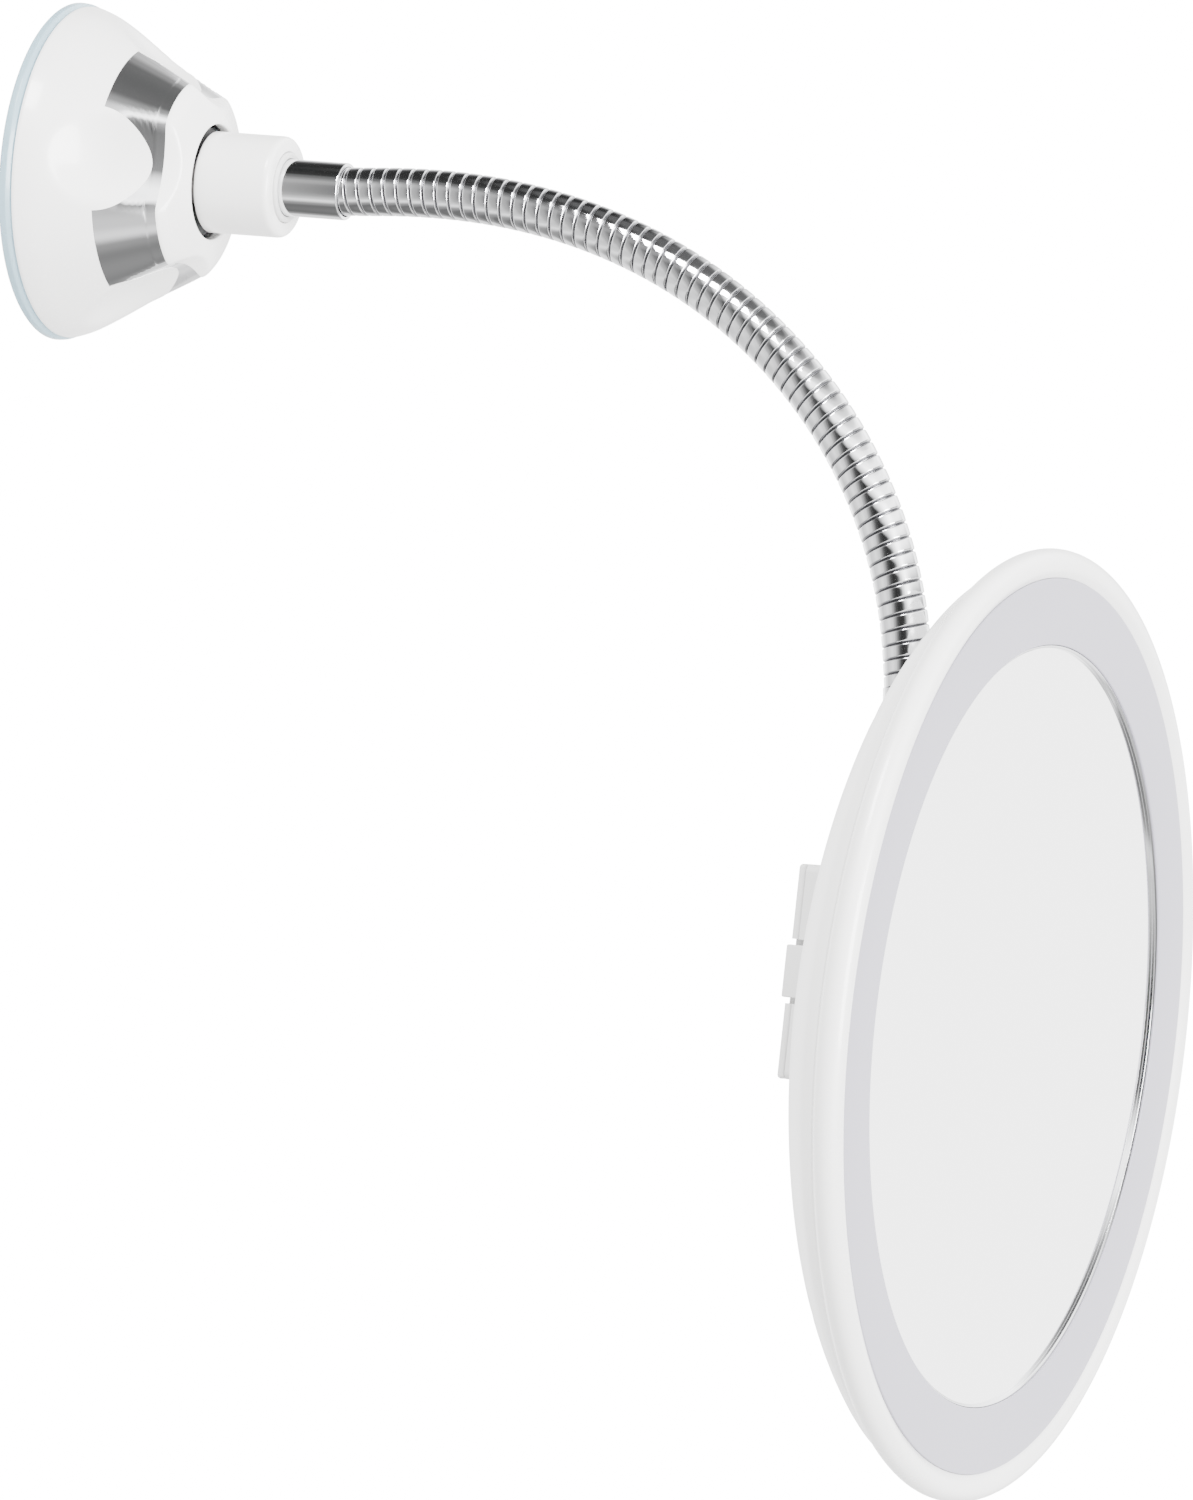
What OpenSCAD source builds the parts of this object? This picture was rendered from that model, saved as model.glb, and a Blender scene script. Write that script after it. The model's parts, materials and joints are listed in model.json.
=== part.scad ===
// Lighted wall mirror on a flexible neck with a twist-lock suction base, in mm.
// Origin: centre of the suction pad's sealing lip, on the wall.
// -Y points out of the wall into the room, +Z is up, X runs along the wall.

/* [Suction base] */
// outer radius of the suction pad
pad_r = 32; // [26:0.5:40]
// thickness of the suction pad
pad_t = 2.2; // [1.8:0.1:3]
// width of the sealing lip that lies on the wall
lip_w = 8; // [5:0.5:10]
// depth of the hollow under the pad when it is locked
pad_hollow = 1.3; // [0.6:0.1:1.6]
// radius of the middle of the pad that the stud moves
centre_r = 12; // [10:0.5:16]
// height at which the white skirt ends and the plated band starts
band_z = 16; // [13:0.5:18]
// skirt radius where the plated band starts
band_r = 24.7; // [23:0.1:27]
// height at which the plated band ends and the nose starts
nose_z = 26.6; // [25:0.2:28]
// nose radius at its foot
nose_r = 19.4; // [18:0.2:21]
// height of the nose opening
nose_top = 30.6; // [30:0.2:32]
// radius of the opening that the hub stands in
nose_hole_r = 10.9; // [10.7:0.1:11.5]
// wall of the twist shell
shell_t = 2.2; // [1.6:0.1:2.6]
// depth of the four finger scoops
scoop_depth = 3.1; // [1.5:0.1:3.6]
// radius of the rounded finger scoops
scoop_r = 24; // [18:1:40]
// height of the lower centre of each finger scoop
scoop_z = 19.5; // [17:0.5:22]
// radius of the white petals that reach into the plated band
petal_r = 10; // [7:0.2:11]
// height of the petal centres
petal_z = 15.8; // [14:0.2:17]
// turn of the scoop pattern about the wall axis, in degrees
scoop_turn = 4.6; // [0:0.2:45]

/* [Lock inside the base] */
// radius of the pull stud
stud_r = 3; // [2:0.1:4]
// radius of the stud's foot on the pad
foot_r = 8; // [6:0.5:10]
// lift of the stud from unlocked to locked
lock_lift = 1.2; // [0.6:0.1:1.4]
// turn of the shell from locked to unlocked, in degrees
lock_turn = 70; // [50:5:90]
// radius of the follower peg
peg_r = 1; // [0.8:0.1:1.2]
// height of the follower peg when locked
peg_z = 11.4; // [11:0.1:11.6]
// inner radius of the cam ring
cam_in_r = 5.6; // [5.4:0.1:6]
// outer radius of the cam ring
cam_out_r = 9.5; // [9:0.1:10]

/* [Base ball joint and hub] */
// height of the base ball's centre
ball_z = 22; // [21.5:0.1:22.5]
// radius of the base ball
ball_r = 6.8; // [6:0.1:7]
// radius of the stem on the base ball
stem_r = 4; // [3:0.1:4.2]
// outer radius of the friction bush round the ball
bush_r = 8.85; // [8.6:0.05:9]
// radius of the hub sleeve
hub_r = 9.6; // [9:0.1:9.8]
// height at which the hub sleeve starts
hub_z = 30.2; // [30:0.1:31]
// length of the hub sleeve
hub_l = 15.2; // [12:0.2:20]
// rounding of the hub sleeve's front edge
hub_round = 1.8; // [0.8:0.1:2.5]
// radius of the ferrule that leaves the hub
ferrule_r = 5.45; // [5:0.05:6]
// length of ferrule that shows in front of the hub
ferrule_l = 10.8; // [8:0.2:20]

/* [Flexible neck] */
// radius over the neck's ribs
neck_r = 4.6; // [3.5:0.1:5]
// depth of the grooves between the ribs
rib_depth = 0.5; // [0.2:0.05:0.7]
// length of one neck segment
link_pitch = 12.75; // [9:0.05:16]
// ribs on one neck segment
ribs = 4; // [3:1:6]
// direction in which the neck leaves the base, degrees below level
start_deg = -5.5; // [-15:0.2:20]
// total bend of the neck, in degrees
bend_deg = 91.2; // [40:0.2:110]
// how late along the neck the bend grows, 1 is an even arc
bend_ease = 1.25; // [1:0.01:2]
// radius of the ball nose on each segment
nose_ball_r = 3.45; // [3:0.05:3.6]
// radius of the short head ferrule
head_ferrule_r = 4.7; // [4.6:0.1:5.6]
// length of the short head ferrule
head_ferrule_l = 4.6; // [4:0.2:8]

/* [Head ball joint] */
// radius of the head ball
head_ball_r = 4.6; // [4:0.1:5]
// radius of the stem on the head ball
head_stem_r = 2.2; // [1.6:0.1:2.6]
// outer radius of the bush round the head ball
head_bush_r = 6.3; // [6:0.1:6.6]
// outer radius of the socket turret
turret_r = 8.4; // [8:0.1:9]
// distance from the ball centre to the head ferrule
stem_l = 8.6; // [8.2:0.1:10]
// half angle of the socket's mouth, in degrees
mouth_deg = 44; // [38:1:48]
// height of the head ball above the mirror's centre
socket_up = 47; // [40:1:55]
// distance of the head ball behind the light ring
socket_back = 27.3; // [26:0.1:29]
// downward pitch of the mirror, in degrees
head_pitch = 1.4; // [0:0.1:10]

/* [Mirror head] */
// outer radius of the head's round frame
frame_r = 89; // [75:1:110]
// radius of the frame's rounded rim
rim_r = 2.8; // [2:0.1:3.2]
// width of the light ring
ring_w = 12.5; // [8:0.5:16]
// thickness of the light ring's diffuser
ring_t = 1.2; // [1:0.1:2.4]
// thickness of the mirror glass
glass_t = 3; // [2:0.2:4]
// lap of the glass under the light ring
glass_lap = 1.8; // [1:0.1:2.4]
// depth of the head from the light ring to the middle of the back
head_depth = 25.4; // [25:0.1:28]
// wall of the rear shell
rear_t = 2; // [1.6:0.1:2.4]
// number of light-emitting chips
led_count = 24; // [8:2:32]

/* [Battery case] */
// width of the battery case
case_w = 54; // [53:0.5:58]
// height of the battery case
case_h = 40; // [39:0.5:46]
// distance of the battery door's face behind the light ring
case_back = 36; // [33:0.2:38]
// height of the battery case's centre above the mirror's centre
case_up = 6; // [0:1:10]
// wall of the battery case
case_t = 1.6; // [1.2:0.1:2]
// thickness of the battery door
door_t = 1.6; // [1.2:0.1:2]
// corner radius of the case and door
case_round = 1.5; // [0.5:0.1:3]
// radius of one AAA cell
cell_r = 5.25; // [5.25:0.05:5.25]
// length of one AAA cell
cell_l = 44.5; // [44.5:0.5:44.5]
// width of the door's spring latch
latch_w = 9.8; // [6:0.2:14]
// gap on each side of the latch
latch_gap = 1.1; // [0.6:0.1:1.6]
// how far the latch stands proud of the case's side
latch_proud = 0.4; // [0.1:0.1:0.8]
// height of the latch's thumb lip above the door
latch_lip = 1.2; // [0.4:0.1:2]
// radius of the power button
button_r = 5; // [3:0.5:7]
// travel of the power button
button_travel = 1; // [0.5:0.1:1.2]
// distance of the power button below the mirror's centre
button_down = 45; // [40:1:55]

/* [Clearances] */
// radial gap of the running fits
fit_gap = 0.05; // [0.02:0.01:0.09]
// gap between each ball and its seat
ball_gap = 0.1; // [0.05:0.01:0.15]
// gap between neck segments and other loose parts
loose_gap = 0.3; // [0.2:0.05:0.5]

/* [Hidden] */
$fn = 96;
steel = [0.72, 0.73, 0.75];
links = 13;
hub_top = hub_z + hub_l;
neck_start = hub_top + ferrule_l + 1.8;
link_gap = neck_r * sin(12) + 0.1;
cup_in_r = nose_ball_r + loose_gap;
rib_pitch = (link_pitch - 2 * link_gap - 1.2) / ribs;
end_deg = start_deg + bend_deg;
cam_tan = lock_lift / (2 * (cam_in_r + cam_out_r) / 2 * sin(lock_turn / 2));
cam_mid = peg_z - peg_r - 0.15 - lock_lift / 2;
slope = atan((band_r - nose_r) / (nose_z - band_z));
plate_z = 7.7;
seat_z = 13;
seat_top = ball_z + 4.7;
rim_mid_r = frame_r - rim_r;
ring_out_r = frame_r - 5.3;
ring_in_r = ring_out_r - ring_w;
glass_r = ring_in_r + glass_lap;
glass_z = -ring_t - glass_t;
pad_z = glass_z - 0.8;
chassis_z = pad_z - 1.6;
case_floor = case_back - door_t - 2 * cell_r - 1.9;
case_rim = case_back - door_t;
cell_pitch = (case_h - 2 * case_t) / 3;

// angle of segment i below level
function link_deg(i) = start_deg + bend_deg * pow((i + 0.5) / links, bend_ease);
// distance from the wall and height of the joint before segment i
function joint_out(i) = i == 0 ? neck_start : joint_out(i - 1) + link_pitch * cos(link_deg(i - 1));
function joint_up(i) = i == 0 ? 0 : joint_up(i - 1) - link_pitch * sin(link_deg(i - 1));
// place of the head ball
ball_reach = head_ferrule_l + stem_l;
head_ball_out = joint_out(links) + ball_reach * cos(end_deg);
head_ball_up = joint_up(links) - ball_reach * sin(end_deg);

// z of the children points out of the wall, y points up
module out() {
    rotate([90, 0, 0]) children();
}

// z of the children runs along segment i, towards the head
module on_neck(i) {
    translate([0, -joint_out(i), joint_up(i)])
        rotate([90 + link_deg(i), 0, 0]) children();
}

// z of the children runs from the head ball up the stem
module on_stem() {
    translate([0, -head_ball_out, head_ball_up])
        rotate([end_deg - 90, 0, 0]) children();
}

// z of the children points out of the mirror from the middle of the light ring
module head() {
    translate([0, -head_ball_out, head_ball_up])
        rotate([90 + head_pitch, 0, 0])
            translate([0, -socket_up, socket_back]) children();
}

module tube(outer, inner, low, high) {
    translate([0, 0, low]) difference() {
        cylinder(r = outer, h = high - low);
        translate([0, 0, -1]) cylinder(r = inner, h = high - low + 2);
    }
}

// block centred in x and y, from low to high
module slab(w, d, low, high) {
    translate([-w / 2, -d / 2, low]) cube([w, d, high - low]);
}

module round_slab(w, d, r, low, high) {
    translate([0, 0, low]) linear_extrude(high - low) {
        square([w - 2 * r, d], center = true);
        square([w, d - 2 * r], center = true);
        for (x = [-1, 1], y = [-1, 1])
            translate([x * (w / 2 - r), y * (d / 2 - r)]) circle(r);
    }
}

// ---- suction base ----

module suction_pad() {
    color([0.72, 0.84, 0.88, 0.7]) out() rotate_extrude() polygon([
        [centre_r + loose_gap, pad_hollow], [pad_r - lip_w - 3, pad_hollow], [pad_r - lip_w, 0],
        [pad_r, 0], [pad_r, pad_t - 1], [pad_r - 1, pad_t], [centre_r + loose_gap, pad_t]]);
}

// the middle of the pad, which the stud pulls off the wall
module pad_centre() {
    color([0.72, 0.84, 0.88, 0.7]) out()
        translate([0, 0, pad_hollow]) cylinder(r = centre_r, h = pad_t - pad_hollow);
}

module pull_stud() {
    color([0.85, 0.85, 0.85]) out() difference() {
        union() {
            translate([0, 0, pad_t]) cylinder(r = foot_r, h = 1.5);
            translate([0, 0, pad_t]) cylinder(r = stud_r, h = seat_z - 0.2 - pad_t);
        }
        translate([-stud_r - 1, 0, peg_z]) rotate([0, 90, 0]) cylinder(r = peg_r, h = 2 * stud_r + 2);
    }
}

module lift_peg() {
    color([0.7, 0.7, 0.72]) out() translate([-stud_r + 0.4, 0, peg_z])
        rotate([0, 90, 0]) cylinder(r = peg_r, h = stud_r - 0.4 + cam_out_r - 0.5);
}

module pressure_plate() {
    color([0.88, 0.88, 0.88]) out() difference() {
        union() {
            tube(pad_r - 6.6, pad_r - 10, pad_t, plate_z);
            tube(pad_r - 7, stud_r + fit_gap, 5.6, plate_z);
            tube(stud_r + 2, stud_r + fit_gap, 5.6, seat_z);
        }
        translate([0, -peg_r - 0.1, peg_z - peg_r - lock_lift - 0.1])
            cube([stud_r + 3, 2 * peg_r + 0.2, seat_z]);
    }
}

module seat_cup() {
    color([0.88, 0.88, 0.88]) out() {
        translate([0, 0, seat_z]) cylinder(r = bush_r + 1.45, h = 1.5);
        tube(bush_r + 1.45, bush_r + fit_gap, seat_z + 1, seat_top);
    }
}

module seat_ring() {
    color([0.3, 0.3, 0.31]) out() tube(bush_r + 1.45, 6.2, seat_top, seat_top + 1.6);
}

module shell_solid() {
    rotate_extrude() polygon([[0, pad_t + 0.3], [pad_r - 0.6, pad_t + 0.3],
        [pad_r - 0.7, pad_t + 1.2], [pad_r - 1.9, 6.4], [pad_r - 4.6, 11.2], [band_r, band_z],
        [nose_r, nose_z], [nose_r - 1.3, nose_z + 1.4], [nose_r - 4.4, nose_z + 2.7],
        [nose_hole_r + 1, nose_top - 0.2], [nose_hole_r + 0.4, nose_top], [0, nose_top]]);
}

module shell_hollow() {
    rotate_extrude() polygon([[0, -1], [pad_r - 0.6 - shell_t, -1],
        [pad_r - 1 - shell_t, pad_t + 1.2], [pad_r - 2.3 - shell_t, 6], [pad_r - 5.1 - shell_t, 10.9],
        [band_r - shell_t * 1.1, band_z - 1], [nose_r - shell_t * 1.1, nose_z - 0.4],
        [nose_r - shell_t - 3, nose_z + 1], [nose_hole_r, nose_top - 1.6], [nose_hole_r, 40], [0, 40]]);
}

// the four finger scoops, grown by a wall thickness
module scoops(grow) {
    for (a = [0:90:270]) rotate([0, 0, a + scoop_turn])
        translate([band_r - (scoop_z - band_z) * tan(slope), 0, scoop_z])
            rotate([0, -slope, 0]) translate([scoop_r - scoop_depth, 0, 0]) {
                sphere(scoop_r + grow);
                cylinder(r = scoop_r + grow, h = 30);
            }
}

// the four petals, as rods square to the cone's face
module petals() {
    for (a = [0:90:270]) rotate([0, 0, a + scoop_turn])
        translate([band_r - (petal_z - band_z) * tan(slope) - 8, 0, petal_z - 8 * tan(slope)])
            rotate([0, 90 - slope, 0]) cylinder(r = petal_r, h = 14);
}

module shell_wall() {
    difference() {
        shell_solid();
        scoops(0);
        difference() {
            shell_hollow();
            scoops(shell_t);
        }
    }
}

module twist_shell() {
    color([0.95, 0.95, 0.94]) out() {
        difference() {
            shell_wall();
            difference() {
                translate([0, 0, band_z]) cylinder(r = 60, h = 30);
                petals();
            }
        }
        tube(pad_r - 5.6, cam_out_r, 8.4, 10.2);
        tube(cam_out_r + 1.8, cam_out_r, 8.2, seat_z - 0.4);
    }
}

module plated_collar() {
    color([0.75, 0.76, 0.78]) out() difference() {
        shell_wall();
        translate([0, 0, -30]) cylinder(r = 60, h = band_z + 30);
        petals();
        translate([0, 0, nose_z]) cylinder(r = 60, h = 30);
    }
}

module nose_cap() {
    color([0.95, 0.95, 0.94]) out() difference() {
        shell_wall();
        translate([0, 0, -30]) cylinder(r = 60, h = nose_z + 30);
    }
}

module cam_ring() {
    color([0.8, 0.8, 0.78]) out() difference() {
        tube(cam_out_r, cam_in_r, 8.1, 12);
        rotate([0, 0, 90 - lock_turn / 2]) translate([0, 0, cam_mid])
            rotate([0, -atan(cam_tan), 0]) slab(40, 40, 0, 10);
    }
}

module ball_bush() {
    color([0.3, 0.3, 0.31]) out() difference() {
        translate([0, 0, seat_z + 2]) cylinder(r = bush_r, h = seat_top - 0.2 - seat_z - 2);
        translate([0, 0, ball_z]) sphere(ball_r + ball_gap);
        translate([0, 0, ball_z]) cylinder(r1 = stem_r, r2 = stem_r + 2, h = 6);
    }
}

module hub_ball() {
    color([0.86, 0.86, 0.86]) out() {
        translate([0, 0, ball_z]) sphere(ball_r);
        translate([0, 0, ball_z]) cylinder(r = stem_r, h = hub_top - 7.4 - ball_z);
    }
}

module hub_sleeve() {
    color([0.94, 0.94, 0.93]) out() difference() {
        union() {
            translate([0, 0, hub_z]) cylinder(r = hub_r, h = hub_l - hub_round);
            translate([0, 0, hub_z]) cylinder(r = hub_r - hub_round, h = hub_l);
            translate([0, 0, hub_top - hub_round])
                rotate_extrude() translate([hub_r - hub_round, 0]) circle(hub_round);
        }
        translate([0, 0, hub_z - 1]) cylinder(r = stem_r, h = hub_l);
        translate([0, 0, hub_top - 7.4]) cylinder(r = ferrule_r, h = 10);
        translate([0, 0, hub_top - 1]) cylinder(r = ferrule_r + 1.2, h = 10);
    }
}

module bush_ring() {
    color([0.8, 0.8, 0.82]) out() {
        tube(ferrule_r + 1.2, ferrule_r, hub_top - 1, hub_top + 0.2);
    }
}

module base_ferrule() {
    color([0.72, 0.73, 0.75]) out() {
        translate([0, 0, hub_top - 7.4]) cylinder(r = ferrule_r, h = 7.4 + ferrule_l - 0.5);
        translate([0, 0, hub_top]) cylinder(r = ferrule_r - 0.5, h = ferrule_l);
        translate([0, 0, hub_top]) cylinder(r = 2.2, h = neck_start - hub_top);
        translate([0, 0, neck_start]) sphere(nose_ball_r);
    }
}

// ---- flexible neck ----

module neck_link() {
    difference() {
        union() {
            translate([0, 0, -link_gap / 2])
                cylinder(r = neck_r - rib_depth, h = link_pitch - link_gap);
            for (i = [0:ribs - 1])
                translate([0, 0, -link_gap / 2 + 0.6 + (i + 0.5) * rib_pitch * 1.12])
                    rotate_extrude() translate([neck_r - rib_pitch * 0.48, 0])
                        circle(rib_pitch * 0.48);
        }
        sphere(cup_in_r);
        translate([0, 0, -5]) cylinder(r = cup_in_r, h = 5);
    }
    translate([0, 0, link_pitch - link_gap - 1]) cylinder(r = 2.2, h = link_gap + 1);
    translate([0, 0, link_pitch]) sphere(nose_ball_r);
}

module neck_link_01() {
    color(steel) on_neck(0) neck_link();
}

module neck_link_02() {
    color(steel) on_neck(1) neck_link();
}

module neck_link_03() {
    color(steel) on_neck(2) neck_link();
}

module neck_link_04() {
    color(steel) on_neck(3) neck_link();
}

module neck_link_05() {
    color(steel) on_neck(4) neck_link();
}

module neck_link_06() {
    color(steel) on_neck(5) neck_link();
}

module neck_link_07() {
    color(steel) on_neck(6) neck_link();
}

module neck_link_08() {
    color(steel) on_neck(7) neck_link();
}

module neck_link_09() {
    color(steel) on_neck(8) neck_link();
}

module neck_link_10() {
    color(steel) on_neck(9) neck_link();
}

module neck_link_11() {
    color(steel) on_neck(10) neck_link();
}

module neck_link_12() {
    color(steel) on_neck(11) neck_link();
}

module neck_link_13() {
    color(steel) on_neck(12) neck_link();
}

// ---- head ball joint ----

module head_ferrule() {
    color(steel) on_stem() difference() {
        translate([0, 0, stem_l]) cylinder(r = head_ferrule_r, h = head_ferrule_l - link_gap / 2);
        translate([0, 0, ball_reach]) sphere(cup_in_r);
        translate([0, 0, stem_l - 1]) cylinder(r = head_stem_r, h = 2);
    }
}

module head_ball() {
    color(steel) on_stem() {
        sphere(head_ball_r);
        cylinder(r = head_stem_r, h = stem_l + 1);
    }
}

module head_bush() {
    color([0.3, 0.3, 0.31]) on_stem() difference() {
        sphere(head_bush_r);
        sphere(head_ball_r + ball_gap);
        cylinder(r = head_stem_r + loose_gap, h = 10);
    }
}

// the socket's cavity and its open mouth
module socket_hollow() {
    sphere(head_bush_r + ball_gap);
    cylinder(r1 = 0, r2 = 20 * tan(mouth_deg), h = 20);
}

module socket_ears() {
    for (x = [-1, 1]) translate([x * (turret_r + 1.6), 0, -5]) cylinder(r = 2.8, h = 6.8);
}

module socket_cap() {
    color([0.95, 0.95, 0.94]) on_stem() difference() {
        union() {
            sphere(turret_r);
            socket_ears();
        }
        socket_hollow();
        translate([-30, -30, -60]) cube([60, 60, 60]);
        for (x = [-1, 1]) translate([x * (turret_r + 1.6), 0, -1]) cylinder(r = 1, h = 8);
    }
}

module socket_screws() {
    color([0.6, 0.6, 0.62]) on_stem() for (x = [-1, 1]) translate([x * (turret_r + 1.6), 0, 0]) {
        translate([0, 0, 1.8]) cylinder(r = 1.9, h = 1);
        translate([0, 0, -4]) cylinder(r = 1, h = 6.3);
    }
}

// ---- mirror head ----

module dome(shrink, deep) {
    rotate_extrude() polygon([[0, 1], [frame_r - 3 - shrink, 1], [frame_r - 3 - shrink, -5.6],
        [frame_r - 5.2 - shrink, -8.6 + deep], [frame_r - 10.5 - shrink, -12.4 + deep],
        [frame_r - 17 - shrink, -15.8 + deep], [frame_r - 25 - shrink, -18.8 + deep],
        [frame_r - 37 - shrink, -21.8 + deep], [frame_r - 51 - shrink, -23.7 + deep],
        [frame_r - 69 - shrink, 0.4 - head_depth + deep], [0, deep - head_depth]]);
}

// the lower half of the ball socket, on its foot
module turret() {
    difference() {
        union() {
            head() translate([0, socket_up, -socket_back]) cylinder(r = turret_r, h = 7.5);
            on_stem() sphere(turret_r);
            on_stem() socket_ears();
        }
        on_stem() translate([-30, -30, 0]) cube([60, 60, 60]);
    }
}

module rear_shell() {
    color([0.94, 0.94, 0.93]) {
        difference() {
            union() {
                head() difference() {
                    dome(0, 0);
                    dome(rear_t, rear_t);
                    translate([0, 0, -5.4]) cylinder(r = 200, h = 30);
                }
                head() intersection() {
                    dome(0, 0);
                    for (a = [45:90:315]) rotate([0, 0, a])
                        translate([frame_r - 12, 0, -14]) cylinder(r = 4, h = 14 + chassis_z);
                }
                turret();
            }
            head() for (a = [45:90:315]) rotate([0, 0, a]) translate([frame_r - 12, 0, 0]) {
                translate([0, 0, -20]) cylinder(r = 2.4, h = 8.6);
                translate([0, 0, -20]) cylinder(r = 1.25, h = 15);
            }
            on_stem() sphere(head_bush_r + ball_gap);
            on_stem() difference() {
                sphere(turret_r);
                translate([-30, -30, -60]) cube([60, 60, 60]);
            }
            on_stem() for (x = [-1, 1]) translate([x * (turret_r + 1.6), 0, -4]) cylinder(r = 1, h = 8);
            head() translate([0, case_up, 0]) round_slab(case_w, case_h, case_round, -60, 0);
            head() translate([0, -button_down, -60]) cylinder(r = button_r + loose_gap, h = 60);
        }
    }
}

module front_bezel() {
    color([0.96, 0.96, 0.95]) head() {
        difference() {
            union() {
                rotate_extrude() translate([rim_mid_r, -2]) circle(rim_r);
                tube(rim_mid_r, ring_out_r, -5.4, -2);
            }
            translate([0, 0, -10]) cylinder(r = ring_out_r, h = 20);
        }
        tube(ring_out_r, ring_out_r - 1.6, -5, -ring_t);
    }
}

module diffuser_ring() {
    color([0.85, 0.84, 0.88]) head() difference() {
        tube(ring_out_r, ring_in_r, -ring_t, 0);
        tube(ring_out_r - 2.5, glass_r + 1, -ring_t - 1, 0.6 - ring_t);
    }
}

module mirror_glass() {
    color([0.8, 0.84, 0.86]) head() translate([0, 0, glass_z]) cylinder(r = glass_r, h = glass_t);
}

module glass_pad() {
    color([0.2, 0.2, 0.2]) head() translate([0, 0, pad_z]) cylinder(r = glass_r - 5, h = 0.8);
}

module chassis_plate() {
    color([0.9, 0.9, 0.9]) head() difference() {
        translate([0, 0, chassis_z]) cylinder(r = ring_out_r - 3.3, h = pad_z - chassis_z);
        for (a = [45:90:315]) rotate([0, 0, a])
            translate([frame_r - 12, 0, -20]) cylinder(r = 1.25, h = 15);
    }
}

module led_board() {
    color([0.9, 0.92, 0.88]) head()
        tube(ring_out_r - 1.8, glass_r + 1.2, pad_z, pad_z + 1);
}

module led_chips() {
    color([1, 0.95, 0.8]) head() for (i = [0:led_count - 1])
        rotate([0, 0, i * 360 / led_count]) translate([ring_out_r - 5.7, 0, 0])
            slab(2.8, 3.5, pad_z + 1, pad_z + 1.8);
}

module lead_wires() {
    color([0.7, 0.1, 0.1]) head() for (x = [-1, 1])
        translate([x * 3, case_up, -case_floor]) cylinder(r = 0.7, h = case_floor + chassis_z);
}

module shell_screws() {
    color([0.6, 0.6, 0.62]) head() for (a = [45:90:315]) rotate([0, 0, a])
        translate([frame_r - 12, 0, 0]) {
            translate([0, 0, -12.8]) cylinder(r = 2.2, h = 1.4);
            translate([0, 0, -12]) cylinder(r = 1.25, h = 6.6);
        }
}

// ---- battery case ----

module battery_case() {
    color([0.9, 0.9, 0.89]) head() translate([0, case_up, 0]) difference() {
        round_slab(case_w, case_h, case_round, -case_rim, -case_floor);
        round_slab(case_w - 2 * case_t, case_h - 2 * case_t, 0.5, -60, -case_floor - case_t);
        translate([-case_w / 2 - 1, -latch_w / 2 - latch_gap, -case_rim - 1])
            cube([case_t + 1.2, latch_w + 2 * latch_gap, 6]);
    }
}

module battery_cells() {
    color([0.2, 0.3, 0.5]) head() for (i = [-1:1])
        translate([0, case_up + i * cell_pitch, -case_floor - case_t - cell_r - 0.1])
            rotate([0, 90, 0]) rotate([0, 0, 90]) {
                translate([0, 0, -cell_l / 2]) cylinder(r = cell_r, h = cell_l - 0.8);
                translate([0, 0, -cell_l / 2]) cylinder(r = 1.9, h = cell_l);
            }
}

module contact_plates() {
    color([0.75, 0.75, 0.77]) head() for (i = [-1:1], x = [-1, 1])
        translate([x * (case_w / 2 - case_t - 0.2), case_up + i * cell_pitch,
            -case_floor - case_t - cell_r])
            slab(0.4, 9, -4.5, 4.5);
}

module contact_springs() {
    color([0.75, 0.75, 0.77]) head() for (i = [-1:1])
        translate([-cell_l / 2, case_up + i * cell_pitch, -case_floor - case_t - cell_r - 0.1])
            rotate([0, -90, 0]) {
                translate([0, 0, 0.3]) rotate_extrude() translate([2, 0]) circle(0.3);
                translate([0, 0, 0.9]) rotate_extrude() translate([2.4, 0]) circle(0.35);
                translate([0, 0, 1.6]) rotate_extrude() translate([2.8, 0]) circle(0.4);
                translate([0, 0, 2])
                    tube(3.2, 2.4, 0, case_w / 2 - case_t - 0.4 - cell_l / 2 - 2);
            }
}

module battery_door() {
    color([0.9, 0.9, 0.89]) head() translate([0, case_up, 0]) difference() {
        round_slab(case_w, case_h, case_round, -case_back, -case_rim - 0.05);
        translate([-case_w / 2 - 1, -latch_w / 2 - latch_gap, -case_back - 1])
            cube([case_t + 1.2, latch_w + 2 * latch_gap, 6]);
    }
}

module door_latch() {
    color([0.9, 0.9, 0.89]) head() translate([0, case_up, 0]) {
        translate([-case_w / 2 - latch_proud, -latch_w / 2, -case_back - latch_lip])
            cube([case_t + latch_proud - 0.2, latch_w, 6 + latch_lip]);
        translate([-case_w / 2, -latch_w / 2, -case_back]) cube([case_t + 0.06, latch_w, 1.2]);
    }
}

module power_button() {
    color([0.85, 0.85, 0.85]) head() translate([0, -button_down, 0]) {
        translate([0, 0, -23.4]) cylinder(r = button_r, h = 3.8);
        translate([0, 0, -20]) cylinder(r = 2, h = 1.4);
    }
}

module switch_block() {
    color([0.15, 0.15, 0.15]) head() translate([0, -button_down, 0]) {
        slab(12, 12, -16.5, chassis_z);
        slab(6, 6, -18.6 + button_travel + 0.1, -16);
    }
}

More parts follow.
